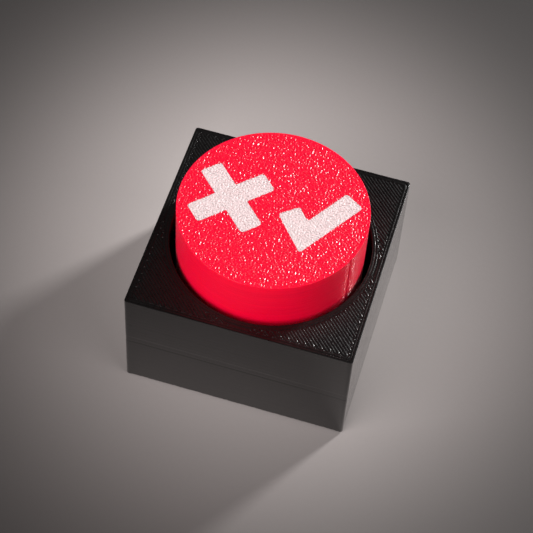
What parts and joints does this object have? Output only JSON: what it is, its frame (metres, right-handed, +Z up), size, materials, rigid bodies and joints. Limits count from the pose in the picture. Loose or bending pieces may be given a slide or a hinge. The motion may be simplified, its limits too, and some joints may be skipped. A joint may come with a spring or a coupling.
{
  "type": "quiz buzzer",
  "caption": "Square tabletop answer buzzer with a round push cap, a sprung key switch, a coin cell and a sounder inside a printed housing.",
  "frame": {"origin": "middle of the footprint, on the surface that the four rubber pads stand on", "axes": "+Z up, the way the cap faces; +Y from the near side of the housing to the far side, with the marks upright; +X to the right"},
  "size_m": [0.033, 0.033, 0.0266],
  "materials": {
    "housing_plastic": "black printed plastic, satin, with layer lines on the sides and filled lines on top",
    "cap_plastic": "bright red printed plastic, grainy top from a textured print bed, fine layer lines on the side",
    "legend_plastic": "white printed plastic inlay with the same grain as the cap",
    "screw_steel": "zinc plated steel",
    "pad_rubber": "dull rubber",
    "cell_steel": "bright nickel plated steel",
    "cell_filling": "dull grey",
    "contact_steel": "plated spring steel",
    "contact_bronze": "phosphor bronze sheet",
    "board_laminate": "green solder mask over glass laminate",
    "chip_plastic": "black moulded epoxy",
    "capacitor_ceramic": "tan ceramic",
    "switch_plastic": "charcoal moulded nylon",
    "switch_cover_plastic": "smoke grey moulded plastic",
    "stem_plastic": "blue moulded acetal"
  },
  "bodies": {
    "base": {"housing": "housing_plastic", "base_plate": "housing_plastic", "base_screw_1": "screw_steel", "base_screw_2": "screw_steel", "base_screw_3": "screw_steel", "base_screw_4": "screw_steel", "foot_pad_1": "pad_rubber", "foot_pad_2": "pad_rubber", "foot_pad_3": "pad_rubber", "foot_pad_4": "pad_rubber", "cell_can": "cell_steel", "cell_seal": "cell_filling", "cell_core": "cell_filling", "cell_lid": "cell_steel", "battery_clip": "contact_steel", "negative_contact": "contact_bronze", "circuit_board": "board_laminate", "controller_chip": "chip_plastic", "drive_transistor": "chip_plastic", "chip_resistor_1": "chip_plastic", "chip_resistor_2": "chip_plastic", "chip_capacitor": "capacitor_ceramic", "sounder_case": "switch_plastic", "sounder_diaphragm": "contact_bronze", "sounder_lid": "switch_plastic", "switch_lower_housing": "switch_plastic", "switch_upper_housing": "switch_cover_plastic", "switch_spring": "contact_steel", "fixed_contact": "contact_bronze", "moving_contact": "contact_bronze"},
    "button": {"switch_stem": "stem_plastic", "button_cap": "cap_plastic", "legend_cross": "legend_plastic", "legend_tick": "legend_plastic"}
  },
  "joints": [
    {"name": "cap_press", "type": "slide", "parent": "base", "child": "button", "axis": [0, 0, -1], "range_m": [0, 0.004], "stiffness_N_per_m": 60, "springref_m": -0.006, "deforming": ["switch_spring"]}
  ]
}
